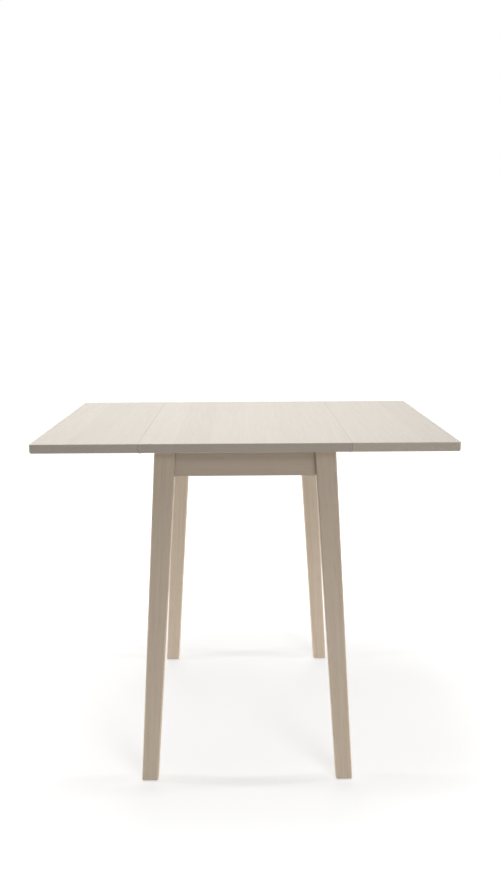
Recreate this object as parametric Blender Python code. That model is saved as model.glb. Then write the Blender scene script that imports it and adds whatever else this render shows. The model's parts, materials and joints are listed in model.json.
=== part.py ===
"""Drop-leaf dining table: splayed legs and rails, a fixed centre panel and two leaves on hinges and stays.

Metres, +Z up. The origin is on the floor under the middle of the table. X runs across the leaves and Y
along the hinge lines, with the front end at -Y.
"""

import math

import bmesh
import bpy
from mathutils import Matrix, Vector

# Table top
TABLE_HEIGHT = 0.750
TABLE_DEPTH = 0.750
PANEL_WIDTH = 0.446
LEAF_WIDTH = 0.227
TOP_THICKNESS = 0.020
SEAM_GAP = 0.0003
TOP_ARRIS = 0.0015
UNDER_ARRIS = 0.005
SEAM_ARRIS = 0.0002
LEAF_CORNER = 0.005
LEAF_FOLD = math.radians(90)

# Legs, measured at the frame's top, with the run of each outer face from there to the foot
LEG_TOP = 0.045
LEG_FOOT = 0.0355
LEG_INSET_X = 0.031
LEG_INSET_Y = 0.025
LEG_SPLAY_X = 0.039
LEG_SPLAY_Y = 0.023
LEG_ARRIS = 0.003
FOOT_CHAMFER = 0.003
GLIDE_RADIUS = 0.012
GLIDE_HEIGHT = 0.0015
GLIDE_SPIGOT_RADIUS = 0.003
GLIDE_SPIGOT_LENGTH = 0.012

# Rails and the corner blocks that hold the legs
RAIL_HEIGHT = 0.055
RAIL_THICKNESS = 0.020
RAIL_SETBACK = 0.010
RAIL_ARRIS = 0.0015
BLOCK_REACH = 0.060
BLOCK_TOE = 0.008
BLOCK_HEIGHT = 0.040
BLOCK_DROP = 0.006
BOLT_RADIUS = 0.004
BOLT_LENGTH = 0.055
BOLT_FLANGE_RADIUS = 0.009
BOLT_FLANGE_HEIGHT = 0.0016
BOLT_HEAD_RADIUS = 0.0075
BOLT_HEAD_HEIGHT = 0.0055
BRACKET_SIZE = 0.026
BRACKET_WIDTH = 0.030
BRACKET_THICKNESS = 0.002
BRACKET_FROM_END = 0.120

# Hinges
HINGE_LENGTH = 0.064
HINGE_END = 0.040
HINGE_LEG_CLEARANCE = 0.003
HINGE_THICKNESS = 0.002
KNUCKLE_RADIUS = 0.0035
PIN_RADIUS = 0.0016
PIN_HEAD_RADIUS = 0.0028
PIN_HEAD_HEIGHT = 0.001
SCREW_RADIUS = 0.0020
SCREW_HEAD_RADIUS = 0.0039
SCREW_FROM_PIN = 0.010
SCREW_FROM_EDGE = 0.008
SCREW_FROM_END = 0.010

# Stays: an arm turns on a hanger on the side rail, and its stud runs in a curved slot under the leaf
STAY_PIVOT_OUT = 0.021
STAY_PIVOT_DROP = 0.024
ARM_REACH = 0.125
ARM_RISE = 0.015
ARM_HALF_WIDTH = 0.007
ARM_THICKNESS = 0.003
RIVET_RADIUS = 0.003
RIVET_HEAD_RADIUS = 0.005
RIVET_HEAD_HEIGHT = 0.002
HANGER_THICKNESS = 0.0025
HANGER_LUG_RADIUS = 0.008
HANGER_WIDTH = 0.038
HANGER_HEIGHT = 0.028
HANGER_SCREW_INSET = 0.007
TRACK_THICKNESS = 0.0025
TRACK_RIM = 0.005
TRACK_FLANGE = 0.018
TRACK_SCREW_INSET = 0.010

# Gap left between pieces that touch or turn in each other, and how round the round pieces are
FIT = 0.0003
MERGE = 0.000001
SIDES_FINE = 14
SIDES_SMALL = 10
ARC_STEPS = 10
SMOOTH_ANGLE = math.radians(35)

# Places that follow from the sizes above
UNDERSIDE = TABLE_HEIGHT - TOP_THICKNESS
FRAME_TOP = UNDERSIDE - FIT
LEG_BOTTOM = GLIDE_HEIGHT + FIT
RAIL_BOTTOM = FRAME_TOP - RAIL_HEIGHT
SIDE_RAIL_OUTER = PANEL_WIDTH / 2 - LEG_INSET_X - RAIL_SETBACK
SIDE_RAIL_INNER = SIDE_RAIL_OUTER - RAIL_THICKNESS
END_RAIL_OUTER = TABLE_DEPTH / 2 - LEG_INSET_Y - RAIL_SETBACK
END_RAIL_INNER = END_RAIL_OUTER - RAIL_THICKNESS
BLOCK_TOP = FRAME_TOP - BLOCK_DROP
BLOCK_BOTTOM = BLOCK_TOP - BLOCK_HEIGHT
HINGE_X = PANEL_WIDTH / 2
HINGE_DROP = KNUCKLE_RADIUS + FIT
HINGE_Z = UNDERSIDE - HINGE_DROP
HINGE_REACH = LEG_INSET_X - HINGE_LEG_CLEARANCE
HINGE_ROW = TABLE_DEPTH / 2 - HINGE_END - HINGE_LENGTH / 2
STAY_ROW = HINGE_ROW / 2
BRACKET_ROW = END_RAIL_INNER - BRACKET_FROM_END
STAY_PIVOT = Vector((SIDE_RAIL_OUTER + STAY_PIVOT_OUT - HINGE_X, 0, -STAY_PIVOT_DROP))

CORNERS = [("front_left", -1, -1), ("front_right", 1, -1), ("rear_left", -1, 1), ("rear_right", 1, 1)]
SIDES = [("right", 0.0), ("left", math.pi)]


def clear_scene():
    for obj in list(bpy.data.objects):
        bpy.data.objects.remove(obj)


def make_material(name, colour, roughness, metallic):
    material = bpy.data.materials.new(name)
    material.use_nodes = True
    shader = material.node_tree.nodes["Principled BSDF"]
    shader.inputs["Base Color"].default_value = (*colour, 1)
    shader.inputs["Roughness"].default_value = roughness
    shader.inputs["Metallic"].default_value = metallic
    return material


def finished(bm):
    """A mesh from a closed bmesh, with its faces turned outwards."""
    bmesh.ops.recalc_face_normals(bm, faces=bm.faces)
    mesh = bpy.data.meshes.new("shape")
    bm.to_mesh(mesh)
    bm.free()
    return mesh


def loft(lower, upper):
    """A closed solid between two outlines that have the same number of points."""
    bm = bmesh.new()
    low = [bm.verts.new(point) for point in lower]
    high = [bm.verts.new(point) for point in upper]
    bm.faces.new(low)
    bm.faces.new(high)
    for i in range(len(low)):
        j = (i + 1) % len(low)
        bm.faces.new((low[i], low[j], high[j], high[i]))
    return bm


def block(low, high):
    """A box between two opposite corners."""
    plan = [(low[0], low[1]), (high[0], low[1]), (high[0], high[1]), (low[0], high[1])]
    return loft([(x, y, low[2]) for x, y in plan], [(x, y, high[2]) for x, y in plan])


def plate(outline, start, end):
    """A flat plate cut to an (x, z) outline, from y = start to y = end."""
    return loft([(x, start, z) for x, z in outline], [(x, end, z) for x, z in outline])


def turned(profile, sides):
    """A solid of revolution about Z through (radius, height) points, from axis to axis."""
    bm = bmesh.new()
    points = [bm.verts.new((radius, 0, height)) for radius, height in profile]
    edges = [bm.edges.new(pair) for pair in zip(points, points[1:])]
    bmesh.ops.spin(
        bm, geom=points + edges, axis=(0, 0, 1), cent=(0, 0, 0), angle=math.tau, steps=sides, use_merge=True
    )
    bmesh.ops.remove_doubles(bm, verts=bm.verts, dist=MERGE)
    return bm


def rod(radius, start, end, sides):
    return turned([(0, start), (radius, start), (radius, end), (0, end)], sides)


def headed_rod(radius, start, neck, head_radius, end, sides):
    """A rod from start to neck, with a wider head from neck to end."""
    profile = [(0, start), (radius, start), (radius, neck), (head_radius, neck), (head_radius, end), (0, end)]
    return turned(profile, sides)


def moved(bm, matrix):
    bmesh.ops.transform(bm, matrix=matrix, verts=bm.verts)
    return bm


def along_y(x=0.0, z=0.0):
    """Lays a shape made along Z on the line through (x, z) that runs along Y."""
    return Matrix.Translation((x, 0, z)) @ Matrix.Rotation(-math.pi / 2, 4, "X")


def arc(centre, radius, start, end, steps=ARC_STEPS):
    """(x, z) points from angle start to angle end, both included."""
    angles = [start + (end - start) * i / steps for i in range(steps + 1)]
    return [(centre[0] + radius * math.cos(a), centre[1] + radius * math.sin(a)) for a in angles]


def joined(shapes):
    """One mesh that holds several separate shapes."""
    together = bmesh.new()
    for shape in shapes:
        mesh = finished(shape)
        together.from_mesh(mesh)
        bpy.data.meshes.remove(mesh)
    return together


def combined(base, tool, operation):
    """The mesh left when a Boolean adds the tool to the base mesh or cuts it away."""
    body = bpy.data.objects.new("body", base)
    other = bpy.data.objects.new("tool", finished(tool))
    for obj in (body, other):
        bpy.context.collection.objects.link(obj)
    modifier = body.modifiers.new("combine", "BOOLEAN")
    modifier.operation = operation
    modifier.object = other
    graph = bpy.context.evaluated_depsgraph_get()
    made = bpy.data.meshes.new_from_object(body.evaluated_get(graph))
    for obj in (body, other):
        bpy.data.objects.remove(obj)
    return made


def softened(bm, widths, segments):
    """The mesh with its edges rounded: widths gives an edge's radius, or 0 for a sharp one."""
    weight = bm.edges.layers.float.new("bevel_weight_edge")
    widest = max(widths(edge) for edge in bm.edges)
    for edge in bm.edges:
        edge[weight] = widths(edge) / widest
    body = bpy.data.objects.new("body", finished(bm))
    bpy.context.collection.objects.link(body)
    bevel = body.modifiers.new("arris", "BEVEL")
    bevel.limit_method = "WEIGHT"
    bevel.width = widest
    bevel.segments = segments
    graph = bpy.context.evaluated_depsgraph_get()
    made = bpy.data.meshes.new_from_object(body.evaluated_get(graph))
    bpy.data.objects.remove(body)
    return made


def place(name, mesh, material, location=(0, 0, 0), turn=0.0, parent=None):
    """A named piece of the table, turned about Z and set down at a location."""
    obj = bpy.data.objects.new(name, mesh)
    if not mesh.materials:
        mesh.materials.append(material)
    mesh.shade_smooth()
    mesh.set_sharp_from_angle(angle=SMOOTH_ANGLE)
    obj.location = location
    obj.rotation_euler.z = turn
    obj.parent = parent
    bpy.context.collection.objects.link(obj)
    return obj


def axis_empty(name, location, turn):
    empty = bpy.data.objects.new(name, None)
    empty.location = location
    empty.rotation_euler.z = turn
    bpy.context.collection.objects.link(empty)
    return empty


def row_name(y):
    """Where along the table a piece stands, from its world y."""
    if abs(y) < MERGE:
        return "middle"
    return "front" if y < 0 else "rear"


def countersunk_hole(thickness):
    """A cutter for a countersunk screw in a plate whose outer face is at z = 0 and whose body lies above it."""
    hole = SCREW_RADIUS + FIT
    mouth = SCREW_HEAD_RADIUS + FIT
    cone = min(mouth - hole, thickness)
    past = thickness + FIT
    return turned([(0, -FIT), (mouth, -FIT), (mouth, 0), (mouth - cone, cone), (hole, past), (0, past)], SIDES_SMALL)


# Legs and rails


def leg_faces(height):
    """Outer x, inner x, outer y and inner y of a leg at a height, for the corner at +X +Y."""
    share = (FRAME_TOP - height) / (FRAME_TOP - LEG_BOTTOM)
    size = LEG_TOP + (LEG_FOOT - LEG_TOP) * share
    outer_x = PANEL_WIDTH / 2 - LEG_INSET_X + LEG_SPLAY_X * share
    outer_y = TABLE_DEPTH / 2 - LEG_INSET_Y + LEG_SPLAY_Y * share
    return outer_x, outer_x - size, outer_y, outer_y - size


def bolt_frame(sign_x, sign_y):
    """The matrix of a leg bolt: its origin on the corner block's slanted face, its Z axis into the leg."""
    into = (BLOCK_REACH + FIT + BLOCK_TOE) / 2
    height = (BLOCK_TOP + BLOCK_BOTTOM) / 2
    seat = Vector((sign_x * (SIDE_RAIL_INNER - into), sign_y * (END_RAIL_INNER - into), height))
    towards_leg = Vector((sign_x, sign_y, 0)).to_track_quat("Z", "Y").to_matrix().to_4x4()
    return Matrix.Translation(seat) @ towards_leg


def leg_mesh(sign_x, sign_y):
    def section(height):
        outer_x, inner_x, outer_y, inner_y = leg_faces(height)
        plan = [(inner_x, inner_y), (outer_x, inner_y), (outer_x, outer_y), (inner_x, outer_y)]
        return [(sign_x * x, sign_y * y, height) for x, y in plan]

    def width(edge):
        low, high = sorted(vert.co.z for vert in edge.verts)
        if high - low > MERGE:
            return LEG_ARRIS
        return FOOT_CHAMFER if low < FRAME_TOP / 2 else 0

    mesh = softened(loft(section(LEG_BOTTOM), section(FRAME_TOP)), width, 2)
    bolt_hole = moved(rod(BOLT_RADIUS + FIT, 0, BOLT_LENGTH + FIT, SIDES_SMALL), bolt_frame(sign_x, sign_y))
    mesh = combined(mesh, bolt_hole, "DIFFERENCE")
    top = LEG_BOTTOM + GLIDE_SPIGOT_LENGTH + FIT
    glide_hole = rod(GLIDE_SPIGOT_RADIUS + FIT, LEG_BOTTOM - FIT, top, SIDES_SMALL)
    return combined(mesh, moved(glide_hole, Matrix.Translation(foot_centre(sign_x, sign_y))), "DIFFERENCE")


def foot_centre(sign_x, sign_y):
    outer_x, inner_x, outer_y, inner_y = leg_faces(LEG_BOTTOM)
    return Vector((sign_x * (outer_x + inner_x) / 2, sign_y * (outer_y + inner_y) / 2, 0))


def glide_mesh():
    """A domed nylon foot with a spigot that presses into the leg."""
    rim = GLIDE_RADIUS - GLIDE_HEIGHT / 2
    return finished(
        turned(
            [
                (0, 0),
                (rim, 0),
                (GLIDE_RADIUS, GLIDE_HEIGHT / 2),
                (GLIDE_RADIUS, GLIDE_HEIGHT),
                (GLIDE_SPIGOT_RADIUS, GLIDE_HEIGHT),
                (GLIDE_SPIGOT_RADIUS, LEG_BOTTOM + GLIDE_SPIGOT_LENGTH),
                (0, LEG_BOTTOM + GLIDE_SPIGOT_LENGTH),
            ],
            SIDES_FINE,
        )
    )


def rail_width(edge):
    """Rails have their two lower long edges eased."""
    a, b = edge.verts
    long_edge = abs(a.co.x - b.co.x) + abs(a.co.y - b.co.y) > 2 * RAIL_THICKNESS
    return RAIL_ARRIS if long_edge and a.co.z < FRAME_TOP - RAIL_HEIGHT / 2 else 0


def end_rail_mesh(sign_y):
    def section(height):
        end = leg_faces(height)[1] - FIT
        plan = [(-end, END_RAIL_INNER), (end, END_RAIL_INNER), (end, END_RAIL_OUTER), (-end, END_RAIL_OUTER)]
        return [(x, sign_y * y, height) for x, y in plan]

    return softened(loft(section(RAIL_BOTTOM), section(FRAME_TOP)), rail_width, 2)


def side_rail_mesh(sign_x):
    def section(height):
        end = leg_faces(height)[3] - FIT
        plan = [(SIDE_RAIL_INNER, -end), (SIDE_RAIL_INNER, end), (SIDE_RAIL_OUTER, end), (SIDE_RAIL_OUTER, -end)]
        return [(sign_x * x, y, height) for x, y in plan]

    return softened(loft(section(RAIL_BOTTOM), section(FRAME_TOP)), rail_width, 2)


def corner_block_mesh(sign_x, sign_y):
    """A block across the corner, notched round the leg and bored for the leg bolt."""
    side = SIDE_RAIL_INNER - FIT
    end = END_RAIL_INNER - FIT

    def section(height):
        _, inner_x, _, inner_y = leg_faces(height)
        far_x = SIDE_RAIL_INNER - BLOCK_REACH
        far_y = END_RAIL_INNER - BLOCK_REACH
        plan = [
            (far_x, end),
            (inner_x - FIT, end),
            (inner_x - FIT, inner_y - FIT),
            (side, inner_y - FIT),
            (side, far_y),
            (side - BLOCK_TOE, far_y),
            (far_x, end - BLOCK_TOE),
        ]
        return [(sign_x * x, sign_y * y, height) for x, y in plan]

    solid = finished(loft(section(BLOCK_BOTTOM), section(BLOCK_TOP)))
    bore = rod(BOLT_RADIUS + FIT, -BOLT_FLANGE_RADIUS, BOLT_LENGTH, SIDES_SMALL)
    return combined(solid, moved(bore, bolt_frame(sign_x, sign_y)), "DIFFERENCE")


def bolt_mesh():
    """A hexagon bolt with a flange under its head, seated at z = 0 and pointing along +Z."""
    flange = -FIT - BOLT_FLANGE_HEIGHT
    shank = finished(headed_rod(BOLT_RADIUS, BOLT_LENGTH, -FIT, BOLT_FLANGE_RADIUS, flange, SIDES_FINE))
    head = rod(BOLT_HEAD_RADIUS, flange + BOLT_FLANGE_HEIGHT / 2, flange - BOLT_HEAD_HEIGHT, 6)
    return combined(shank, head, "UNION")


def panel_bracket_mesh():
    """A steel angle in the corner between a side rail and the centre panel, holding the two together."""
    thick = BRACKET_THICKNESS
    outline = [(0, 0), (0, -BRACKET_SIZE), (-thick, -BRACKET_SIZE), (-thick, -thick)]
    outline += [(-BRACKET_SIZE, -thick), (-BRACKET_SIZE, 0)]
    angle = finished(plate(outline, -BRACKET_WIDTH / 2, BRACKET_WIDTH / 2))
    middle = (BRACKET_SIZE + thick) / 2
    upward = moved(countersunk_hole(thick), Matrix.Translation((-middle, 0, -thick)))
    sideways = Matrix.Translation((-thick, 0, -middle)) @ Matrix.Rotation(math.pi / 2, 4, "Y")
    return combined(angle, joined([upward, moved(countersunk_hole(thick), sideways)]), "DIFFERENCE")


def build_frame(wood, steel, nylon):
    glide = glide_mesh()
    bolt = bolt_mesh()
    for corner, sign_x, sign_y in CORNERS:
        place(f"leg_{corner}", leg_mesh(sign_x, sign_y), wood)
        place(f"corner_block_{corner}", corner_block_mesh(sign_x, sign_y), wood)
        place(f"foot_glide_{corner}", glide, nylon, foot_centre(sign_x, sign_y))
        place(f"leg_bolt_{corner}", bolt, steel).matrix_world = bolt_frame(sign_x, sign_y)
    for end, sign_y in (("front", -1), ("rear", 1)):
        place(f"end_rail_{end}", end_rail_mesh(sign_y), wood)
    bracket = panel_bracket_mesh()
    for side, turn in SIDES:
        sign_x = math.cos(turn)
        place(f"side_rail_{side}", side_rail_mesh(sign_x), wood)
        for y in (-BRACKET_ROW, BRACKET_ROW):
            corner = (sign_x * (SIDE_RAIL_INNER - FIT), y, FRAME_TOP)
            place(f"panel_bracket_{side}_{row_name(y)}", bracket, steel, corner, turn)


# Centre panel and leaves


def board_mesh(low, high, outer_sides):
    """A board with eased edges. outer_sides lists the x of each side that has no seam."""

    def on_outer_side(edge):
        return any(all(abs(vert.co.x - x) < MERGE for vert in edge.verts) for x in outer_sides)

    def width(edge):
        first, second = (vert.co for vert in edge.verts)
        if abs(first.z - second.z) > MERGE:
            return LEAF_CORNER if on_outer_side(edge) else SEAM_ARRIS
        if abs(first.x - second.x) < MERGE and not on_outer_side(edge):
            return SEAM_ARRIS
        return TOP_ARRIS if first.z > (low[2] + high[2]) / 2 else UNDER_ARRIS

    return softened(block(low, high), width, 3)


def build_top(wood, leaf_axes):
    half_depth = TABLE_DEPTH / 2
    seam = PANEL_WIDTH / 2 - SEAM_GAP / 2
    panel = board_mesh((-seam, -half_depth, UNDERSIDE), (seam, half_depth, TABLE_HEIGHT), [])
    place("centre_panel", panel, wood)
    top = HINGE_DROP + TOP_THICKNESS
    leaf = board_mesh((SEAM_GAP / 2, -half_depth, HINGE_DROP), (LEAF_WIDTH, half_depth, top), [LEAF_WIDTH])
    for side, _ in SIDES:
        place(f"leaf_{side}", leaf, wood, parent=leaf_axes[side])


# Hinges: x runs from the pin towards the leaf, z = 0 is the pin


def hinge_plate_mesh(direction, knuckles, other_knuckles):
    """A plate on one side of the pin, with its own knuckles and room for the other plate's."""
    top = KNUCKLE_RADIUS
    bottom = top - HINGE_THICKNESS
    half = HINGE_LENGTH / 2
    near, far = sorted((0, direction * HINGE_REACH))
    mesh = finished(block((near, -half, bottom), (far, half, top)))
    room = KNUCKLE_RADIUS + FIT
    barrels = [moved(rod(KNUCKLE_RADIUS, start, end, SIDES_FINE), along_y()) for start, end in knuckles]
    notches = [block((-room, start - FIT, -room), (room, end + FIT, room)) for start, end in other_knuckles]
    mesh = combined(mesh, joined(notches), "DIFFERENCE")
    mesh = combined(mesh, joined(barrels), "UNION")
    cuts = [moved(rod(PIN_RADIUS + FIT, -half - FIT, half + FIT, SIDES_SMALL), along_y())]
    outer = HINGE_REACH - SCREW_FROM_EDGE
    spread = half - SCREW_FROM_END
    holes = [(SCREW_FROM_PIN, 0), (outer, -spread), (outer, spread)]
    for out, y in holes:
        cuts.append(moved(countersunk_hole(HINGE_THICKNESS), Matrix.Translation((direction * out, y, bottom))))
    return combined(mesh, joined(cuts), "DIFFERENCE")


def hinge_pin_mesh():
    half = HINGE_LENGTH / 2
    neck = half + FIT
    pin = headed_rod(PIN_RADIUS, -half, neck, PIN_HEAD_RADIUS, neck + PIN_HEAD_HEIGHT, SIDES_SMALL)
    return finished(moved(pin, along_y()))


def build_hinges(steel, leaf_axes):
    half = HINGE_LENGTH / 2
    third = HINGE_LENGTH / 6
    ends = [(-half, -third - FIT / 2), (third + FIT / 2, half)]
    middle = [(-third + FIT / 2, third - FIT / 2)]
    panel_plate = hinge_plate_mesh(-1, ends, middle)
    leaf_plate = hinge_plate_mesh(1, middle, ends)
    pin = hinge_pin_mesh()
    for side, turn in SIDES:
        sign = math.cos(turn)
        for y in (-HINGE_ROW, 0, HINGE_ROW):
            row = row_name(sign * y)
            place_on_frame = (sign * HINGE_X, sign * y, HINGE_Z)
            place(f"hinge_panel_plate_{side}_{row}", panel_plate, steel, place_on_frame, turn)
            place(f"hinge_pin_{side}_{row}", pin, steel, place_on_frame, turn)
            place(f"hinge_leaf_plate_{side}_{row}", leaf_plate, steel, (0, y, 0), parent=leaf_axes[side])


# Stays: y = 0 is the arm's inner face


def stay_arm_mesh():
    """The arm from its pivot at the origin to its stud, with a headed rivet through the hanger and the track."""
    tip = (ARM_REACH, ARM_RISE)
    lean = math.atan2(ARM_RISE, ARM_REACH)
    quarter = math.pi / 2
    outline = arc(tip, ARM_HALF_WIDTH, lean - quarter, lean + quarter)
    outline += arc((0, 0), ARM_HALF_WIDTH, lean + quarter, lean + 3 * quarter)
    mesh = finished(plate(outline, 0, ARM_THICKNESS))
    inside = ARM_THICKNESS / 2
    neck = -HANGER_THICKNESS - 2 * FIT
    pivot = headed_rod(RIVET_RADIUS, inside, neck, RIVET_HEAD_RADIUS, neck - RIVET_HEAD_HEIGHT, SIDES_SMALL)
    neck = ARM_THICKNESS + TRACK_THICKNESS + 2 * FIT
    stud = headed_rod(RIVET_RADIUS, inside, neck, RIVET_HEAD_RADIUS, neck + RIVET_HEAD_HEIGHT, SIDES_SMALL)
    return combined(mesh, joined([moved(pivot, along_y()), moved(stud, along_y(*tip))]), "UNION")


def stay_hanger_mesh():
    """A base plate on the side rail with a lug that carries the arm's pivot at the origin."""
    back = FIT - STAY_PIVOT_OUT
    front = back + HANGER_THICKNESS
    lug_far = -FIT - HANGER_THICKNESS
    lug_middle = lug_far + HANGER_THICKNESS / 2
    low = (back, lug_middle - HANGER_WIDTH / 2, -HANGER_HEIGHT / 2)
    base = finished(block(low, (front, lug_middle + HANGER_WIDTH / 2, HANGER_HEIGHT / 2)))
    outline = arc((0, 0), HANGER_LUG_RADIUS, -math.pi / 2, math.pi / 2)
    outline += [(back + HANGER_THICKNESS / 2, HANGER_LUG_RADIUS), (back + HANGER_THICKNESS / 2, -HANGER_LUG_RADIUS)]
    mesh = combined(base, plate(outline, lug_far, -FIT), "UNION")
    cuts = [moved(rod(RIVET_RADIUS + FIT, lug_far - FIT, 0, SIDES_SMALL), along_y())]
    for side in (-1, 1):
        across = side * (HANGER_WIDTH / 2 - HANGER_SCREW_INSET)
        centre = Matrix.Translation((front, lug_middle + across, 0))
        hole = countersunk_hole(HANGER_THICKNESS)
        cuts.append(moved(hole, centre @ Matrix.Rotation(-math.pi / 2, 4, "Y")))
    return combined(mesh, joined(cuts), "DIFFERENCE")


def stay_track_mesh():
    """A flanged plate under the leaf, with the curved slot that the stud follows as leaf and arm turn together."""
    centre = (ARM_REACH, ARM_RISE)
    radius = math.hypot(STAY_PIVOT.x, STAY_PIVOT.z)
    start = math.atan2(STAY_PIVOT.z, STAY_PIVOT.x)
    end = start + LEAF_FOLD
    slot = RIVET_RADIUS + FIT
    margin = slot + TRACK_RIM
    left = centre[0] + radius * math.cos(start) - margin
    right = centre[0] + radius * math.cos(end) + margin
    top = HINGE_DROP - FIT
    lower = radius + margin
    lower_start = -math.acos((left - centre[0]) / lower)
    lower_end = -math.acos((right - centre[0]) / lower)
    outline = [(right, top), (left, top)] + arc(centre, lower, lower_start, lower_end)
    inner = ARM_THICKNESS + FIT
    web = finished(plate(outline, inner, inner + TRACK_THICKNESS))
    flange = block((left, inner + TRACK_THICKNESS / 2, top - TRACK_THICKNESS), (right, inner + TRACK_FLANGE, top))
    mesh = combined(web, flange, "UNION")
    half_turn = math.pi
    path = arc(centre, radius + slot, start, end)
    path += arc(arc(centre, radius, end, end)[0], slot, end, end + half_turn)[1:-1]
    path += arc(centre, radius - slot, end, start)
    path += arc(arc(centre, radius, start, start)[0], slot, start + half_turn, start + 2 * half_turn)[1:-1]
    cuts = [plate(path, inner - FIT, inner + TRACK_THICKNESS + FIT)]
    across = inner + (TRACK_THICKNESS + TRACK_FLANGE) / 2
    for x in (left + TRACK_SCREW_INSET, right - TRACK_SCREW_INSET):
        corner = Matrix.Translation((x, across, top - TRACK_THICKNESS))
        cuts.append(moved(countersunk_hole(TRACK_THICKNESS), corner))
    return combined(mesh, joined(cuts), "DIFFERENCE")


def build_stays(steel, leaf_axes):
    arm = stay_arm_mesh()
    hanger = stay_hanger_mesh()
    track = stay_track_mesh()
    for side, turn in SIDES:
        sign = math.cos(turn)
        for y in (-STAY_ROW, STAY_ROW):
            row = row_name(sign * y)
            pivot = (sign * (HINGE_X + STAY_PIVOT.x), sign * y, HINGE_Z + STAY_PIVOT.z)
            place(f"stay_hanger_{side}_{row}", hanger, steel, pivot, turn)
            place(f"stay_arm_{side}_{row}", arm, steel, pivot, turn)
            place(f"stay_track_{side}_{row}", track, steel, (0, y, 0), parent=leaf_axes[side])


def main():
    clear_scene()
    wood = make_material("whitewashed_wood", (0.72, 0.64, 0.54), 0.55, 0.0)
    steel = make_material("zinc_plated_steel", (0.60, 0.60, 0.58), 0.35, 1.0)
    nylon = make_material("pale_nylon", (0.78, 0.75, 0.70), 0.5, 0.0)
    leaf_axes = {}
    for side, turn in SIDES:
        leaf_axes[side] = axis_empty(f"leaf_axis_{side}", (math.cos(turn) * HINGE_X, 0, HINGE_Z), turn)
    build_frame(wood, steel, nylon)
    build_top(wood, leaf_axes)
    build_hinges(steel, leaf_axes)
    build_stays(steel, leaf_axes)


main()
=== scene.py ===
import json
import math

import bmesh
import bpy
from mathutils import Matrix, Vector

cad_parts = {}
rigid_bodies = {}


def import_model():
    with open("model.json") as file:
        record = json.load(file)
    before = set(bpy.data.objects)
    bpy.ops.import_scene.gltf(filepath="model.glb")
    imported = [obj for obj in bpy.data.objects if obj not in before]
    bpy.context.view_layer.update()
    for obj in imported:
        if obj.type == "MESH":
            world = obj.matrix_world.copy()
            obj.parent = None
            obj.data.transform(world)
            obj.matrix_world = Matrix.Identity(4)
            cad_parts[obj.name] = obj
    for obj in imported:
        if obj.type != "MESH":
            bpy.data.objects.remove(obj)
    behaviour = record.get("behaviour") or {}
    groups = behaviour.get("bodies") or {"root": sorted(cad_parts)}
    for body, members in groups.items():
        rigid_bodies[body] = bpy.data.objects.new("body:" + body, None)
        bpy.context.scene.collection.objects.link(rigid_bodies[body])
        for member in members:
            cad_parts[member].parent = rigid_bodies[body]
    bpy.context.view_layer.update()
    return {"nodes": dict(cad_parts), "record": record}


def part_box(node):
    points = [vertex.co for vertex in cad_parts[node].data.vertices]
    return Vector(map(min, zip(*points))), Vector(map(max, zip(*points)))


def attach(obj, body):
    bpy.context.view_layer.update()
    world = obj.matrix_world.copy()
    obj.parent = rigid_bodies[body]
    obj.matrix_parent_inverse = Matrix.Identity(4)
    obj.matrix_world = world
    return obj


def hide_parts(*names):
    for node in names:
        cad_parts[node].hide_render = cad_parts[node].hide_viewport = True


for spare in list(bpy.data.objects):
    bpy.data.objects.remove(spare)

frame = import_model()
NODES = frame["nodes"]
BODIES = frame["record"]["behaviour"]["bodies"]

# Corners and sides of the table, with their signs along X and Y. All lengths are in metres
CORNERS = {"front_left": (-1, -1), "front_right": (1, -1), "rear_left": (-1, 1), "rear_right": (1, 1)}
SIDES = {"right": 1, "left": -1}
ROWS = ("front", "middle", "rear")
ALONG_X = Vector((1, 0, 0))
ALONG_Y = Vector((0, 1, 0))
UP = Vector((0, 0, 1))

# The boards of the top, with the number of staves that each is glued from
SEAM_X = (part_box("centre_panel")[1].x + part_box("leaf_right")[0].x) / 2
LEAF_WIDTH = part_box("leaf_right")[1].x - SEAM_X
HALF_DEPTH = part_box("centre_panel")[1].y
PANEL_STAVES = 6
LEAF_STAVES = 3
PANEL_STAVE = 2 * SEAM_X / PANEL_STAVES
LEAF_STAVE = LEAF_WIDTH / LEAF_STAVES


# Shader nodes


def node(tree, kind, sockets=None, **settings):
    """A shader node with its settings, and with its inputs linked or set."""
    made = tree.nodes.new(kind)
    for key, value in settings.items():
        setattr(made, key, value)
    for key, value in (sockets or {}).items():
        if isinstance(value, bpy.types.NodeSocket):
            tree.links.new(value, made.inputs[key])
        else:
            made.inputs[key].default_value = value
    return made


def math_of(tree, operation, *values):
    return node(tree, "ShaderNodeMath", dict(enumerate(values)), operation=operation).outputs[0]


def vector_of(tree, operation, *values):
    return node(tree, "ShaderNodeVectorMath", dict(enumerate(values)), operation=operation).outputs[0]


def sizes_of(tree, vector):
    """The three parts of a vector, without their signs."""
    return node(tree, "ShaderNodeSeparateXYZ", {0: vector_of(tree, "ABSOLUTE", vector)}).outputs


def noise(tree, place, scale, detail=2.0, roughness=0.5):
    """Smooth noise over a place that is stretched by a scale for each direction."""
    spread = vector_of(tree, "MULTIPLY", place, scale)
    sockets = {"Vector": spread, "Scale": 1.0, "Detail": detail, "Roughness": roughness}
    return node(tree, "ShaderNodeTexNoise", sockets)


def ranged(tree, value, span, result=(0.0, 1.0)):
    """A value that runs through a span, brought to a result's start and end with soft ends."""
    (low, high), (start, end) = span, result
    sockets = {"Value": value, "From Min": low, "From Max": high, "To Min": start, "To Max": end}
    return node(tree, "ShaderNodeMapRange", sockets, interpolation_type="SMOOTHSTEP").outputs[0]


def mixed(tree, share, first, second, blend="MIX"):
    """Two colours mixed by a share."""
    sockets = {0: share, 6: first, 7: second}
    return node(tree, "ShaderNodeMix", sockets, data_type="RGBA", blend_type=blend).outputs[2]


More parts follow.
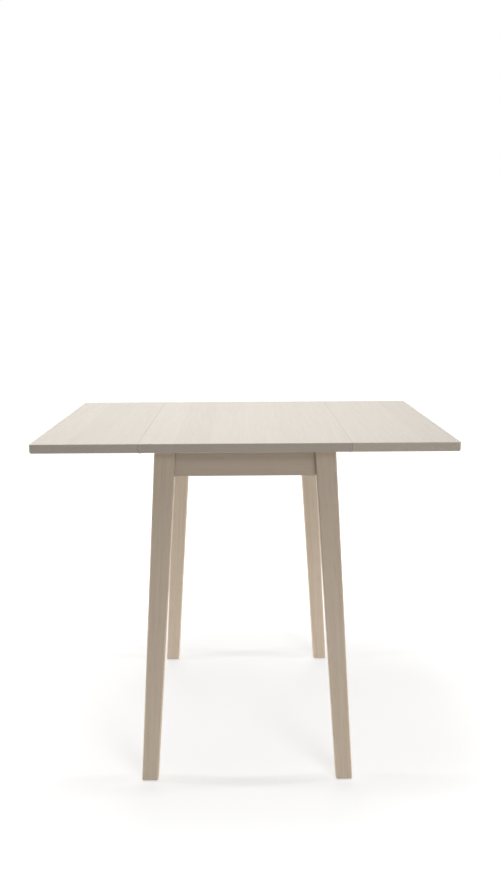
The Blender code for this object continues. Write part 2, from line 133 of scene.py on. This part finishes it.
def bumped(tree, shader, height, strength, depth):
    """Gives a surface a fine relief."""
    bump = node(tree, "ShaderNodeBump", {"Height": height, "Strength": strength, "Distance": depth})
    tree.links.new(bump.outputs[0], shader.inputs["Normal"])


def new_material(name):
    material = bpy.data.materials.new(name)
    material.use_nodes = True
    return material, material.node_tree, material.node_tree.nodes["Principled BSDF"]


def colour(red, green, blue):
    return (red, green, blue, 1.0)


def scaled(tone, share):
    """A colour made darker or paler by a share."""
    return colour(*(share * part for part in tone[:3]))


# Largest part of a normal on a flat face and on a rounded edge
ARRIS_SPAN = (0.985, 0.86)


def arris_share(tree, normal):
    """1 on rounded edges and 0 on the flat faces of a squared piece."""
    across, along, upward = sizes_of(tree, normal)
    largest = math_of(tree, "MAXIMUM", math_of(tree, "MAXIMUM", across, along), upward)
    return ranged(tree, largest, ARRIS_SPAN)


# Wood

# Painted shade in the seams, a near-black colour on their chamfers near both ends: the slope of the faces
# that hold it, and how far it reaches from a seam and its end
SEAM_PAINTED_SHADE = colour(0.06, 0.052, 0.043)
SHADE_SLOPE_SPAN = (0.3, 0.6)
SHADE_REACH_SPAN = (0.003, 0.001)
SHADE_END_SPAN = (HALF_DEPTH - 0.0014, HALF_DEPTH - 0.0008)

# How far the grain and the tone of one glued stave may differ from the next
STAVE_SHIFT = (0.09, 0.05, 2.0)
STAVE_TONES = (0.975, 1.02)

# Marks of the grain: how often they repeat in a metre, across it and along it, and how strong they are
BEND_SCALE = (11, 11, 1.6)
BEND_REACH = (0.030, 0.030, 0.0)
RING_SCALE = 46.0
RING_SHARE = 0.42
STREAK_SCALE = (260, 260, 4.5)
STREAK_DETAIL = 4.0
STREAK_ROUGHNESS = 0.62
STREAK_SPAN = (0.28, 0.72)
STREAK_SHARE = 0.58
PORE_SCALE = (1100, 1100, 30)
PORE_DETAIL = 1.0
PORE_SPAN = (0.60, 0.76)
PORE_SHARE = 0.30
PORE_TONE = 0.55
CLOUD_SCALE = (8, 8, 2.4)
CLOUD_SPAN = (0.3, 0.7)
CLOUD_SHARE = 0.5
CLOUD_TONE = 0.97

# Rubbed edges and end grain
WEAR_SPAN = (0.35, 0.65)
WEAR_SHARES = (0.1, 0.45)
WEAR_TONE = 1.08
END_SPAN = (0.45, 0.75)
END_SHARE = 0.75
END_FIGURE_TONE = 0.86

# Roughness and relief of the wood
WOOD_ROUGHNESS = 0.50
STREAK_ROUGHER = 0.16
END_ROUGHER = 0.15
STREAK_RELIEF = 0.6
WOOD_BUMP = 0.25
WOOD_BUMP_DEPTH = 0.0004


def seam_shade_share(tree, spot, normal):
    """1 inside a seam at its two ends, where the seam's shade is painted, and 0 elsewhere."""
    where = sizes_of(tree, spot)
    away = math_of(tree, "ABSOLUTE", math_of(tree, "SUBTRACT", where[0], SEAM_X))
    facing = ranged(tree, sizes_of(tree, normal)[0], SHADE_SLOPE_SPAN)
    inside = math_of(tree, "MULTIPLY", facing, ranged(tree, away, SHADE_REACH_SPAN))
    return math_of(tree, "MULTIPLY", inside, ranged(tree, where[1], SHADE_END_SPAN))


def centred(tree, drawn, reach):
    """A drawn colour as a move of up to half a reach, each way."""
    return vector_of(tree, "MULTIPLY", vector_of(tree, "SUBTRACT", drawn, (0.5, 0.5, 0.5)), reach)


def stave_draw(tree, laid, staves, seed):
    """A number and a colour drawn for the stave that a place lies in."""
    first_joint, width = staves
    across = node(tree, "ShaderNodeSeparateXYZ", {0: laid}).outputs[0]
    count = math_of(tree, "DIVIDE", math_of(tree, "SUBTRACT", across, first_joint), width)
    number = math_of(tree, "ADD", math_of(tree, "FLOOR", count), seed)
    return node(tree, "ShaderNodeTexWhiteNoise", {"W": number}, noise_dimensions="1D").outputs


def growth_rings(tree, laid):
    """Rings about the grain, which bend a little on their way."""
    bend = centred(tree, noise(tree, laid, BEND_SCALE).outputs["Color"], BEND_REACH)
    sockets = {
        "Vector": vector_of(tree, "ADD", laid, bend),
        "Scale": RING_SCALE,
        "Distortion": 0.6,
        "Detail": 2.0,
        "Detail Scale": 1.4,
    }
    settings = {"wave_type": "RINGS", "rings_direction": "Z", "wave_profile": "SAW"}
    return node(tree, "ShaderNodeTexWave", sockets, **settings).outputs["Fac"]


def wood(name, axis, tones, shift, staves=None):
    """Whitewashed wood with its grain along an axis.

    tones are the pale, the deep and the end colour. shift sets the grain apart from that of other pieces.
    staves gives the first joint and the width of the staves that a board is glued from.
    """
    pale, deep, end_tone = tones
    material, tree, shader = new_material(name)
    place = node(tree, "ShaderNodeTexCoord")
    spot = place.outputs["Object"]
    normal = place.outputs["Normal"]
    upright = axis.rotation_difference(UP).to_euler()
    laid = node(tree, "ShaderNodeMapping", {"Vector": spot, "Rotation": upright}).outputs[0]
    if staves:
        stave = stave_draw(tree, laid, staves, shift[2])
        laid = vector_of(tree, "ADD", laid, centred(tree, stave["Color"], STAVE_SHIFT))
    laid = vector_of(tree, "ADD", laid, shift)

    rings = growth_rings(tree, laid)
    streaks = noise(tree, laid, STREAK_SCALE, STREAK_DETAIL, STREAK_ROUGHNESS).outputs["Fac"]
    pores = ranged(tree, noise(tree, laid, PORE_SCALE, PORE_DETAIL).outputs["Fac"], PORE_SPAN)
    cloud = noise(tree, laid, CLOUD_SCALE).outputs["Fac"]
    fibres = ranged(tree, streaks, STREAK_SPAN, (0.0, STREAK_SHARE))
    figure = math_of(tree, "MULTIPLY_ADD", rings, RING_SHARE, fibres)

    base = mixed(tree, figure, pale, deep)
    base = mixed(tree, ranged(tree, cloud, CLOUD_SPAN, (0.0, CLOUD_SHARE)), base, scaled(pale, CLOUD_TONE))
    if staves:
        grey = ranged(tree, stave["Value"], (0.0, 1.0), STAVE_TONES)
        tint = node(tree, "ShaderNodeCombineXYZ", {0: grey, 1: grey, 2: grey}).outputs[0]
        base = mixed(tree, 1.0, base, tint, "MULTIPLY")
    base = mixed(tree, math_of(tree, "MULTIPLY", pores, PORE_SHARE), base, scaled(deep, PORE_TONE))
    worn = ranged(tree, cloud, WEAR_SPAN, WEAR_SHARES)
    rubbed = math_of(tree, "MULTIPLY", arris_share(tree, normal), worn)
    base = mixed(tree, rubbed, base, scaled(deep, WEAR_TONE))
    along = node(tree, "ShaderNodeVectorMath", {0: normal, 1: axis}, operation="DOT_PRODUCT")
    end = ranged(tree, math_of(tree, "ABSOLUTE", along.outputs["Value"]), END_SPAN)
    end_base = mixed(tree, figure, end_tone, scaled(end_tone, END_FIGURE_TONE))
    base = mixed(tree, math_of(tree, "MULTIPLY", end, END_SHARE), base, end_base)
    if staves:
        # Painted shade: the seam chamfers near both ends are darkened to a near-black colour
        base = mixed(tree, seam_shade_share(tree, spot, normal), base, SEAM_PAINTED_SHADE)
    tree.links.new(base, shader.inputs["Base Color"])

    rough = math_of(tree, "MULTIPLY_ADD", streaks, STREAK_ROUGHER, WOOD_ROUGHNESS)
    tree.links.new(math_of(tree, "MULTIPLY_ADD", end, END_ROUGHER, rough), shader.inputs["Roughness"])
    height = math_of(tree, "SUBTRACT", math_of(tree, "MULTIPLY", streaks, STREAK_RELIEF), pores)
    bumped(tree, shader, height, WOOD_BUMP, WOOD_BUMP_DEPTH)
    return material


# Steel

PLATING_DETAIL = 3.0
PLATING_SPAN = (0.3, 0.7)
PLATING_ROUGHNESS_SPAN = (0.2, 0.8)
PLATING_ROUGHNESS = (0.18, 0.32)
SCRATCH_SCALE = Vector((30, 2, 30))
SCRATCH_ROUGHER = 0.22
STEEL_EDGE = colour(0.68, 0.67, 0.65)
STEEL_EDGE_SHARE = 0.5
STEEL_BUMP = 0.12
STEEL_BUMP_DEPTH = 0.0002


def steel(name, bright, dull, scale):
    """Zinc-plated steel: cloudy plating, fine scratches and brighter rubbed edges."""
    material, tree, shader = new_material(name)
    place = node(tree, "ShaderNodeTexCoord")
    spot = place.outputs["Object"]
    cloud = noise(tree, spot, (scale, scale, scale), PLATING_DETAIL).outputs["Fac"]
    scratch = noise(tree, spot, scale * SCRATCH_SCALE).outputs["Fac"]
    base = mixed(tree, ranged(tree, cloud, PLATING_SPAN), bright, dull)
    edge = math_of(tree, "MULTIPLY", arris_share(tree, place.outputs["Normal"]), STEEL_EDGE_SHARE)
    tree.links.new(mixed(tree, edge, base, STEEL_EDGE), shader.inputs["Base Color"])
    rough = ranged(tree, cloud, PLATING_ROUGHNESS_SPAN, PLATING_ROUGHNESS)
    rough = math_of(tree, "MULTIPLY_ADD", scratch, SCRATCH_ROUGHER, rough)
    tree.links.new(rough, shader.inputs["Roughness"])
    shader.inputs["Metallic"].default_value = 1.0
    bumped(tree, shader, scratch, STEEL_BUMP, STEEL_BUMP_DEPTH)
    return material


# Nylon

NYLON_CLOUD_SCALE = (260, 260, 260)
NYLON_CLOUD_DETAIL = 3.0
NYLON_CLOUD_SPAN = (0.35, 0.7)
NYLON_GRAIN_SCALE = (2600, 2600, 2600)
NYLON_GRAIN_DETAIL = 1.0
NYLON_ROUGHNESS = 0.38
NYLON_CLOUD_ROUGHER = 0.2
NYLON_BUMP = 0.1
NYLON_BUMP_DEPTH = 0.0002


def nylon(name, pale, dusty):
    """Moulded nylon, a little dusty and scuffed."""
    material, tree, shader = new_material(name)
    spot = node(tree, "ShaderNodeTexCoord").outputs["Object"]
    cloud = noise(tree, spot, NYLON_CLOUD_SCALE, NYLON_CLOUD_DETAIL).outputs["Fac"]
    grain = noise(tree, spot, NYLON_GRAIN_SCALE, NYLON_GRAIN_DETAIL).outputs["Fac"]
    base = mixed(tree, ranged(tree, cloud, NYLON_CLOUD_SPAN), pale, dusty)
    tree.links.new(base, shader.inputs["Base Color"])
    rough = math_of(tree, "MULTIPLY_ADD", cloud, NYLON_CLOUD_ROUGHER, NYLON_ROUGHNESS)
    tree.links.new(rough, shader.inputs["Roughness"])
    bumped(tree, shader, grain, NYLON_BUMP, NYLON_BUMP_DEPTH)
    return material


# Materials of the pieces, by the start of a piece's name

BOARD_TONES = (colour(0.695, 0.638, 0.560), colour(0.652, 0.589, 0.502))
# End-grain tones are lit and shaded copies of one tone, fitted board by board: paler on the right, where
# more light falls on the front edge, and darker on the left and centre (painted light and shade)
LEFT_END_TONE_SHADED = colour(0.510, 0.455, 0.382)
CENTRE_END_TONE_SHADED = colour(0.480, 0.408, 0.337)
RIGHT_END_TONE_LIT = colour(0.590, 0.494, 0.403)
# Rails and corner blocks are toned darker than the legs, painting the shade under the tabletop's overhang
RAIL_TONES_SHADED = (colour(0.540, 0.450, 0.358), colour(0.475, 0.384, 0.292), colour(0.42, 0.342, 0.262))
LEG_TONES = (colour(0.590, 0.492, 0.390), colour(0.520, 0.419, 0.317), colour(0.460, 0.375, 0.285))
# Rear legs are toned 10 % paler than the front ones, painting the stronger light that falls on them
LEG_PAINTED_LIGHT = {"front": 1.0, "rear": 1.1}
LEG_TOP = 0.045

# Where a leg's grain is taken from, so that no two legs are alike
LEG_SHIFT = (0.02, 0.03, 21.0)
LEG_SHIFT_ACROSS = 4.0
LEG_SHIFT_ALONG = 7.0

BLOCK_GRAIN = Vector((1, 1, 0)).normalized()
MATERIALS = {
    "centre_panel": wood(
        "wood_centre_panel",
        ALONG_Y,
        (*BOARD_TONES, CENTRE_END_TONE_SHADED),
        shift=(0.02, 0.055, 3.0),
        staves=(-SEAM_X, PANEL_STAVE),
    ),
    "leaf_left": wood(
        "wood_leaf_left",
        ALONG_Y,
        (*BOARD_TONES, LEFT_END_TONE_SHADED),
        shift=(0.03, 0.060, 19.0),
        staves=(-SEAM_X - LEAF_WIDTH, LEAF_STAVE),
    ),
    "leaf_right": wood(
        "wood_leaf_right",
        ALONG_Y,
        (*BOARD_TONES, RIGHT_END_TONE_LIT),
        shift=(-0.01, 0.050, 31.0),
        staves=(SEAM_X, LEAF_STAVE),
    ),
    "end_rail": wood("wood_end_rails", ALONG_X, RAIL_TONES_SHADED, shift=(0.03, 0.02, 5.0)),
    "side_rail": wood("wood_side_rails", ALONG_Y, RAIL_TONES_SHADED, shift=(0.05, 0.02, 9.0)),
    "corner_block": wood("wood_corner_blocks", BLOCK_GRAIN, RAIL_TONES_SHADED, shift=(0.05, 0.04, 13.0)),
    "foot_glide": nylon("nylon_glides", colour(0.74, 0.71, 0.66), colour(0.52, 0.49, 0.44)),
    "hinge_pin": steel("steel_pins", colour(0.50, 0.49, 0.47), colour(0.39, 0.38, 0.37), scale=240),
    "hinge": steel("steel_hinges", colour(0.54, 0.53, 0.51), colour(0.42, 0.41, 0.395), scale=90),
    "stay": steel("steel_stays", colour(0.52, 0.52, 0.515), colour(0.40, 0.40, 0.40), scale=70),
    "panel_bracket": steel("steel_brackets", colour(0.51, 0.51, 0.495), colour(0.41, 0.41, 0.40), scale=80),
    "leg_bolt": steel("steel_bolts", colour(0.50, 0.475, 0.42), colour(0.40, 0.375, 0.32), scale=160),
    "screws": steel("steel_screws", colour(0.55, 0.51, 0.43), colour(0.43, 0.395, 0.315), scale=300),
}


def side_end(low, high, sign):
    """The end of a span that lies on the side of a sign."""
    return high if sign > 0 else low


def leg_grain(corner):
    """The way up a leg, from the middle of its foot to the middle of its top."""
    sign_x, sign_y = CORNERS[corner]
    low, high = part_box(f"leg_{corner}")
    inner_x = side_end(low.x, high.x, -sign_x)
    inner_y = side_end(low.y, high.y, -sign_y)
    top = Vector((inner_x + sign_x * LEG_TOP / 2, inner_y + sign_y * LEG_TOP / 2, high.z))
    glide_low, glide_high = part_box(f"foot_glide_{corner}")
    glide = (glide_low + glide_high) / 2
    return (top - Vector((glide.x, glide.y, low.z))).normalized()


def leg_wood(corner):
    sign_x, sign_y = CORNERS[corner]
    draw = LEG_SHIFT[2] + sign_x * LEG_SHIFT_ACROSS + sign_y * LEG_SHIFT_ALONG
    # Painted light: the rear legs' tones are scaled paler
    tones = [scaled(tone, LEG_PAINTED_LIGHT[corner.split("_")[0]]) for tone in LEG_TONES]
    shift = (sign_x * LEG_SHIFT[0], sign_y * LEG_SHIFT[1], draw)
    return wood(f"wood_leg_{corner}", leg_grain(corner), tones, shift)


for corner in CORNERS:
    MATERIALS[f"leg_{corner}"] = leg_wood(corner)


def material_for(name):
    """The material whose key is the longest start of a piece's name."""
    return MATERIALS[max((key for key in MATERIALS if name.startswith(key)), key=len)]


# Pieces in the shape of the CAD nodes

SMOOTH_ANGLE = math.radians(40)
CRISP_ANGLE = math.radians(60)
FLAT_ANGLE = math.radians(0.5)
WELD = 0.00001
STEEL_ARRIS = 0.00025
BLOCK_ARRIS = 0.0010
ARRIS_STEPS = 2
ROUND_PROFILE = 0.5
SLOTS = {"steel": ("hinge", "stay", "panel_bracket", "leg_bolt"), "nylon": ("foot_glide",)}


def shown(name, mesh, body, material):
    """A finished piece that rides on a body, with flat faces kept flat beside rounded edges."""
    mesh.materials.clear()
    mesh.materials.append(material)
    mesh.shade_smooth()
    mesh.set_sharp_from_angle(angle=SMOOTH_ANGLE)
    piece = bpy.data.objects.new(name, mesh)
    bpy.context.scene.collection.objects.link(piece)
    flat = piece.modifiers.new("flat faces", "WEIGHTED_NORMAL")
    flat.keep_sharp = True
    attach(piece, body)
    return piece


def eased(bm, width):
    """Rounds the crisp edges of a shape, apart from those that meet an edge too short for it."""
    crisp = []
    for edge in bm.edges:
        shortest = min(other.calc_length() for end in edge.verts for other in end.link_edges)
        if edge.calc_face_angle(0.0) > CRISP_ANGLE and shortest > 2 * width:
            crisp.append(edge)
    bmesh.ops.bevel(
        bm,
        geom=crisp,
        offset=width,
        segments=ARRIS_STEPS,
        profile=ROUND_PROFILE,
        affect="EDGES",
        clamp_overlap=False,
    )
    bmesh.ops.remove_doubles(bm, verts=bm.verts, dist=WELD)


def join_flat_faces(bm):
    """Joins triangles that lie in one plane, laid out evenly first so that few long cuts are left."""
    flat = [edge for edge in bm.edges if edge.calc_face_angle(math.pi) < FLAT_ANGLE]
    bmesh.ops.beautify_fill(bm, faces=bm.faces, edges=flat)
    bmesh.ops.dissolve_limit(bm, angle_limit=FLAT_ANGLE, verts=bm.verts, edges=bm.edges)


def finish_node(name, body, slot):
    """A piece in the shape of a CAD node, with its faces cleaned, and the crisp edges of steel pieces and
    corner blocks rounded.
    """
    bm = bmesh.new()
    bm.from_mesh(NODES[name].data)
    bmesh.ops.remove_doubles(bm, verts=bm.verts, dist=WELD)
    join_flat_faces(bm)
    if slot == "steel":
        eased(bm, STEEL_ARRIS)
    elif name.startswith("corner_block"):
        eased(bm, BLOCK_ARRIS)
    many_sided = [face for face in bm.faces if len(face.verts) > 4]
    bmesh.ops.triangulate(bm, faces=many_sided, ngon_method="BEAUTY")
    mesh = bpy.data.meshes.new(f"{name}_{slot}")
    bm.to_mesh(mesh)
    bm.free()
    piece = shown(f"{name}_{slot}", mesh, body, material_for(name))
    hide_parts(name)


def slot_of(name):
    """The material slot of the record that a node belongs to."""
    for slot, starts in SLOTS.items():
        if name.startswith(starts):
            return slot
    return "wood"


for body, members in BODIES.items():
    for name in members:
        finish_node(name, body, slot_of(name))


# Wood screws

SCREW_LENGTH = 0.016
BLOCK_SCREW_LENGTH = 0.032
HEAD_RADIUS = 0.0038
HEAD_RIM = 0.0003
SHANK_RADIUS = 0.0018
TIP_RADIUS = 0.0003
TIP_SHARE = 0.72
RECESS_REACH = 0.0023
RECESS_WIDTH = 0.0005
RECESS_DEPTH = 0.0014
RECESS_FLOOR = 0.45
SCREW_SIDES = 20

# How deep the heads sit, and how far they are turned, in radians from screw to screw and in a metre along Y
SCREW_SINK = 0.00015
SPIN_STEP = 1.1
SPIN_RUN = 40

# Where the screws sit in what they hold
HINGE_THICKNESS = 0.002
HINGE_SCREW_FROM_PIN = 0.010
HINGE_SCREW_FROM_EDGE = 0.008
HINGE_SCREW_FROM_END = 0.010
STAY_THICKNESS = 0.0025
HANGER_SCREW_FROM_END = 0.007
TRACK_SCREW_FROM_END = 0.010
TRACK_SCREW_FROM_EDGE = 0.00775
BRACKET_THICKNESS = 0.002
BRACKET_SCREW_FROM_CORNER = 0.014
BLOCK_TOE = 0.008
BLOCK_SCREW_SPREAD = 0.0185


def lathe(profile, sides):
    """A closed shape turned about Z through (radius, height) points."""
    bm = bmesh.new()
    points = [bm.verts.new((radius, 0, height)) for radius, height in profile]
    edges = [bm.edges.new(pair) for pair in zip(points, points[1:])]
    bmesh.ops.spin(
        bm, geom=points + edges, axis=(0, 0, 1), cent=(0, 0, 0), angle=math.tau, steps=sides, use_merge=True
    )
    bmesh.ops.remove_doubles(bm, verts=bm.verts, dist=WELD)
    bmesh.ops.recalc_face_normals(bm, faces=bm.faces)
    return bm


def recess_arm():
    """One arm of a cross recess, from just above a screw's face to a smaller floor."""
    bm = bmesh.new()
    rings = []
    for share, height in ((1.0, -RECESS_DEPTH / 4), (RECESS_FLOOR, RECESS_DEPTH)):
        x = RECESS_REACH * share
        y = RECESS_WIDTH * (1 + share) / 2
        rings.append([bm.verts.new((*point, height)) for point in ((-x, -y), (x, -y), (x, y), (-x, y))])
    bm.faces.new(rings[0])
    bm.faces.new(rings[1])
    for i in range(4):
        j = (i + 1) % 4
        bm.faces.new((rings[0][i], rings[0][j], rings[1][j], rings[1][i]))
    bmesh.ops.recalc_face_normals(bm, faces=bm.faces)
    return bm


def as_object(bm):
    mesh = bpy.data.meshes.new("shape")
    bm.to_mesh(mesh)
    bm.free()
    made = bpy.data.objects.new("shape", mesh)
    bpy.context.scene.collection.objects.link(made)
    return made


def screw_mesh(length):
    """A countersunk wood screw with a cross recess: its face is at z = 0 and it points along +Z."""
    neck = HEAD_RIM + HEAD_RADIUS - SHANK_RADIUS
    profile = [(0, 0), (HEAD_RADIUS - HEAD_RIM, 0), (HEAD_RADIUS, HEAD_RIM), (SHANK_RADIUS, neck)]
    profile += [(SHANK_RADIUS, length * TIP_SHARE), (TIP_RADIUS, length), (0, length)]
    body = as_object(lathe(profile, SCREW_SIDES))
    arms = [recess_arm(), recess_arm()]
    bmesh.ops.rotate(arms[1], verts=arms[1].verts, matrix=Matrix.Rotation(math.pi / 2, 3, "Z"))
    tools = [as_object(arm) for arm in arms]
    for tool in tools:
        cut = body.modifiers.new("recess", "BOOLEAN")
        cut.object = tool
        cut.operation = "DIFFERENCE"
    made = bpy.data.meshes.new_from_object(body.evaluated_get(bpy.context.evaluated_depsgraph_get()))
    for used in (body, *tools):
        bpy.data.objects.remove(used)
    bm = bmesh.new()
    bm.from_mesh(made)
    bmesh.ops.remove_doubles(bm, verts=bm.verts, dist=WELD)
    join_flat_faces(bm)
    bm.to_mesh(made)
    bm.free()
    return made


SCREW = screw_mesh(SCREW_LENGTH)
BLOCK_SCREW = screw_mesh(BLOCK_SCREW_LENGTH)


def screws(name, body, shape, places):
    """Screws as one piece: each place is the middle of a head and the way its screw points."""
    bm = bmesh.new()
    for number, (point, way) in enumerate(places):
        one = shape.copy()
        turn = UP.rotation_difference(way).to_matrix().to_4x4()
        spin = Matrix.Rotation(number * SPIN_STEP + point[1] * SPIN_RUN, 4, "Z")
        one.transform(Matrix.Translation(Vector(point) + way * SCREW_SINK) @ turn @ spin)
        bm.from_mesh(one)
        bpy.data.meshes.remove(one)
    mesh = bpy.data.meshes.new(name)
    bm.to_mesh(mesh)
    bm.free()
    shown(name, mesh, body, MATERIALS["screws"])


def hinge_screws(side, row, plate, body, way):
    """Three screws up through a hinge plate. way is the sign of the side that it reaches to from its pin."""
    low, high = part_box(f"hinge_{plate}_plate_{side}_{row}")
    by_pin = SIDES[side] * SEAM_X + way * HINGE_SCREW_FROM_PIN
    by_edge = side_end(low.x, high.x, way) - way * HINGE_SCREW_FROM_EDGE
    spots = [
        (by_pin, (low.y + high.y) / 2),
        (by_edge, low.y + HINGE_SCREW_FROM_END),
        (by_edge, high.y - HINGE_SCREW_FROM_END),
    ]
    places = [((*spot, high.z - HINGE_THICKNESS), UP) for spot in spots]
    screws(f"hinge_screws_{plate}_{side}_{row}", body, SCREW, places)


def hanger_screws(side, row):
    """Two screws through a stay's hanger into the side rail."""
    sign = SIDES[side]
    low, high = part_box(f"stay_hanger_{side}_{row}")
    middle = (low + high) / 2
    face = side_end(low.x, high.x, -sign) + sign * STAY_THICKNESS
    reach = (high.y - low.y) / 2 - HANGER_SCREW_FROM_END
    places = [((face, middle.y + end * reach, middle.z), -sign * ALONG_X) for end in (-sign, sign)]
    screws(f"hanger_screws_{side}_{row}", "frame", SCREW, places)


def track_screws(side, row):
    """Two screws up through the flange of a stay's track into the leaf."""
    sign = SIDES[side]
    low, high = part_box(f"stay_track_{side}_{row}")
    middle = (low.x + high.x) / 2
    reach = (high.x - low.x) / 2 - TRACK_SCREW_FROM_END
    y = side_end(low.y, high.y, sign) - sign * TRACK_SCREW_FROM_EDGE
    places = [((middle + end * reach, y, high.z - STAY_THICKNESS), UP) for end in (-sign, sign)]
    screws(f"track_screws_{side}_{row}", f"{side}_leaf", SCREW, places)


def bracket_screws(side, row):
    """A screw up into the centre panel and one outwards into the side rail."""
    outward = SIDES[side] * ALONG_X
    low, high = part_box(f"panel_bracket_{side}_{row}")
    corner = Vector((side_end(low.x, high.x, SIDES[side]), (low.y + high.y) / 2, high.z))
    in_panel = corner - outward * BRACKET_SCREW_FROM_CORNER - UP * BRACKET_THICKNESS
    in_rail = corner - outward * BRACKET_THICKNESS - UP * BRACKET_SCREW_FROM_CORNER
    screws(f"bracket_screws_{side}_{row}", "frame", SCREW, [(in_panel, UP), (in_rail, outward)])


def block_screws(corner):
    """Two screws through the slanted face of a corner block, one beside each rail."""
    sign_x, sign_y = CORNERS[corner]
    into = Vector((sign_x, sign_y, 0))
    along = Vector((sign_x, -sign_y, 0))
    low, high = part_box(f"corner_block_{corner}")
    middle = (low + high) / 2 - into * BLOCK_TOE / 2
    places = [(middle + end * BLOCK_SCREW_SPREAD * along, into.normalized()) for end in (-1, 1)]
    screws(f"block_screws_{corner}", "frame", BLOCK_SCREW, places)


for side, sign in SIDES.items():
    for row in ROWS:
        hinge_screws(side, row, "panel", "frame", -sign)
        hinge_screws(side, row, "leaf", f"{side}_leaf", sign)
        if row != "middle":
            hanger_screws(side, row)
            track_screws(side, row)
            bracket_screws(side, row)
for corner in CORNERS:
    block_screws(corner)


# Floor, light and camera

FLOOR_SIZE = 30.0
FLOOR_CELLS = 8
FLOOR_GREY = colour(0.60, 0.60, 0.60)
AMBIENT = 0.22
LOW_SPREAD = math.radians(58)

# How much the floor glows under the table, and how far from the middle that rises to white
FLOOR_GLOW = 0.50
FLOOR_GLOW_SPAN = (0.45, 1.3)

# The camera, fitted to the photograph: angles in radians, and the lens in millimetres
CAMERA_PLACE = Vector((-0.0021, -2.3908, 1.0715))
CAMERA_PITCH = 0.1547
CAMERA_YAW = 0.006
CAMERA_ROLL = 0.0053
CAMERA_LENS = 40.238
CAMERA_CLIP = 0.05


def seen_directly(tree):
    """1 for what the camera sees itself, in a gloss or through glass, and 0 for light on the object."""
    path = node(tree, "ShaderNodeLightPath").outputs
    either = math_of(tree, "MAXIMUM", path["Is Camera Ray"], path["Is Glossy Ray"])
    return math_of(tree, "MAXIMUM", either, path["Is Transmission Ray"])


def make_floor():
    """A pale floor that keeps the shadow and fades to white away from the table."""
    bm = bmesh.new()
    bmesh.ops.create_grid(bm, x_segments=FLOOR_CELLS, y_segments=FLOOR_CELLS, size=FLOOR_SIZE)
    mesh = bpy.data.meshes.new("floor")
    bm.to_mesh(mesh)
    bm.free()
    floor = bpy.data.objects.new("floor", mesh)
    bpy.context.scene.collection.objects.link(floor)
    material, tree, shader = new_material("studio_floor")
    tree.nodes.remove(shader)
    matt = node(tree, "ShaderNodeBsdfDiffuse", {"Color": FLOOR_GREY})
    spot = node(tree, "ShaderNodeTexCoord").outputs["Object"]
    away = node(tree, "ShaderNodeVectorMath", {0: spot}, operation="LENGTH").outputs["Value"]
    whiter = ranged(tree, away, FLOOR_GLOW_SPAN, (FLOOR_GLOW, 1.0))
    level = math_of(tree, "MULTIPLY", seen_directly(tree), whiter)
    glow = node(tree, "ShaderNodeEmission", {"Strength": level})
    both = node(tree, "ShaderNodeAddShader", {0: matt.outputs[0], 1: glow.outputs[0]})
    tree.links.new(both.outputs[0], tree.nodes["Material Output"].inputs["Surface"])
    mesh.materials.append(material)


def make_world():
    """A white surround that lights the table only a little."""
    world = bpy.data.worlds.new("studio")
    bpy.context.scene.world = world
    world.use_nodes = True
    tree = world.node_tree
    background = tree.nodes["Background"]
    background.inputs["Color"].default_value = colour(1, 1, 1)
    strength = math_of(tree, "MULTIPLY_ADD", seen_directly(tree), 1.0 - AMBIENT, AMBIENT)
    tree.links.new(strength, background.inputs["Strength"])


def make_lamp(name, place, aim, size, power):
    lamp = bpy.data.lights.new(name, "AREA")
    lamp.shape = "RECTANGLE"
    lamp.size, lamp.size_y = size
    lamp.energy = power
    holder = bpy.data.objects.new(name, lamp)
    holder.location = place
    holder.rotation_euler = (Vector(aim) - Vector(place)).to_track_quat("-Z", "Y").to_euler()
    bpy.context.scene.collection.objects.link(holder)
    return holder


def make_low_lamp(name, place, aim, size, power):
    """A narrow lamp near the floor, which the steel doesn't mirror."""
    holder = make_lamp(name, place, aim, size, power)
    holder.data.spread = LOW_SPREAD
    holder.visible_glossy = False


def make_camera():
    data = bpy.data.cameras.new("camera")
    data.lens = CAMERA_LENS
    data.clip_start = CAMERA_CLIP
    camera = bpy.data.objects.new("camera", data)
    bpy.context.scene.collection.objects.link(camera)
    ahead = Vector((
        math.sin(CAMERA_YAW) * math.cos(CAMERA_PITCH),
        math.cos(CAMERA_YAW) * math.cos(CAMERA_PITCH),
        -math.sin(CAMERA_PITCH),
    ))
    right = ahead.cross(UP).normalized()
    down = ahead.cross(right)
    tilted_right = math.cos(CAMERA_ROLL) * right + math.sin(CAMERA_ROLL) * down
    tilted_down = math.cos(CAMERA_ROLL) * down - math.sin(CAMERA_ROLL) * right
    turn = Matrix((tilted_right, -tilted_down, -ahead)).transposed()
    camera.matrix_world = Matrix.Translation(CAMERA_PLACE) @ turn.to_4x4()
    bpy.context.scene.camera = camera


make_floor()
make_world()
make_lamp("overhead_softbox", place=(-0.5, 0.1, 2.95), aim=(-0.05, 0, 0.7), size=(1.8, 1.6), power=29.8)
make_lamp("rear_softbox", place=(0.0, 3.0, 2.7), aim=(0, 0, 0.4), size=(2.6, 1.6), power=34.0)
make_lamp("front_softbox", place=(1.3, -2.7, 2.4), aim=(0, 0, 0.5), size=(1.0, 0.8), power=15.8)
make_low_lamp("low_front_fill", place=(0.9, -3.0, 0.6), aim=(0.05, -0.3, -0.40), size=(1.6, 0.6), power=4.0)
for side, sign in SIDES.items():
    place = (sign * 2.8, -0.07, 0.34)
    make_low_lamp(f"low_{side}_softbox", place, aim=(0, -0.07, 0.15), size=(0.22, 0.5), power=7.4)
make_camera()
bpy.context.scene.view_settings.view_transform = "Standard"
